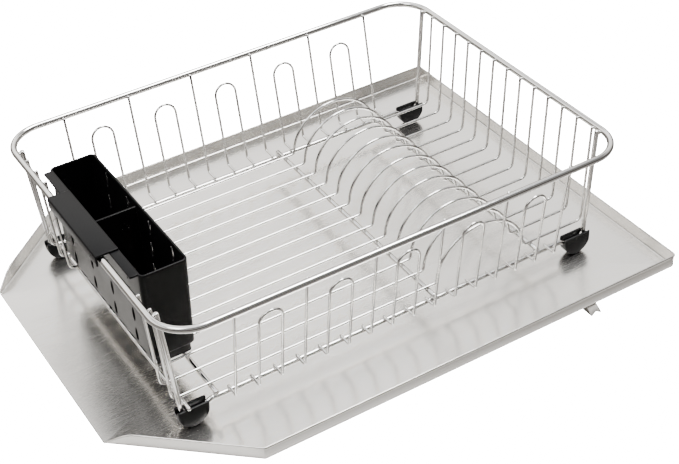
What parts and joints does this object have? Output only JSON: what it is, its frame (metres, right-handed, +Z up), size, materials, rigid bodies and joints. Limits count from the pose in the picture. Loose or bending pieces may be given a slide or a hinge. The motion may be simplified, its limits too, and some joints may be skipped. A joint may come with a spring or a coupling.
{
  "type": "dish drying rack",
  "caption": "Wire dish drying basket with plate arches and capped feet, a hooked perforated cutlery holder and a sloping drip tray with an open spout.",
  "frame": {"origin": "centre of the whole rack's base, on the surface that it stands on", "axes": "+X to the raised right end, away from the spout; +Y to the back; +Z up"},
  "size_m": [0.5369, 0.42, 0.1462],
  "materials": {
    "tray_steel": "satin brushed stainless sheet",
    "wire_steel": "electropolished stainless wire",
    "holder_plastic": "black satin moulded plastic",
    "foot_rubber": "black moulded cap"
  },
  "bodies": {
    "tray": {"tray_pan": "tray_steel", "tray_foot_front": "tray_steel", "tray_foot_back": "tray_steel"},
    "basket": {"rim_wire": "wire_steel", "frame_wire_front": "wire_steel", "frame_wire_back": "wire_steel", "cross_wire_left": "wire_steel", "cross_wire_middle": "wire_steel", "cross_wire_right": "wire_steel", "end_wire_left": "wire_steel", "plate_wire_01": "wire_steel", "plate_wire_02": "wire_steel", "plate_wire_03": "wire_steel", "plate_wire_04": "wire_steel", "plate_wire_05": "wire_steel", "plate_wire_06": "wire_steel", "plate_wire_07": "wire_steel", "plate_wire_08": "wire_steel", "plate_wire_09": "wire_steel", "plate_wire_10": "wire_steel", "plate_wire_11": "wire_steel", "plate_wire_12": "wire_steel", "plate_wire_13": "wire_steel", "front_upright_1": "wire_steel", "front_upright_2": "wire_steel", "front_upright_3": "wire_steel", "front_upright_4": "wire_steel", "front_upright_5": "wire_steel", "front_upright_6": "wire_steel", "back_upright_1": "wire_steel", "back_upright_2": "wire_steel", "back_upright_3": "wire_steel", "back_upright_4": "wire_steel", "back_upright_5": "wire_steel", "back_upright_6": "wire_steel", "front_loop_1": "wire_steel", "front_loop_2": "wire_steel", "front_loop_3": "wire_steel", "front_loop_4": "wire_steel", "front_loop_5": "wire_steel", "back_loop_1": "wire_steel", "back_loop_2": "wire_steel", "back_loop_3": "wire_steel", "back_loop_4": "wire_steel", "back_loop_5": "wire_steel", "foot_cap_front_left": "foot_rubber", "foot_cap_front_right": "foot_rubber", "foot_cap_back_left": "foot_rubber", "foot_cap_back_right": "foot_rubber"},
    "cutlery_holder": {"cutlery_holder": "holder_plastic"}
  },
  "joints": [
    {"name": "basket_lift", "type": "slide", "parent": "tray", "child": "basket", "axis": [0, 0, 1], "range_m": [0, 0.2]},
    {"name": "holder_lift", "type": "slide", "parent": "basket", "child": "cutlery_holder", "axis": [-0.0252, 0, 0.9997], "range_m": [0, 0.14]}
  ]
}
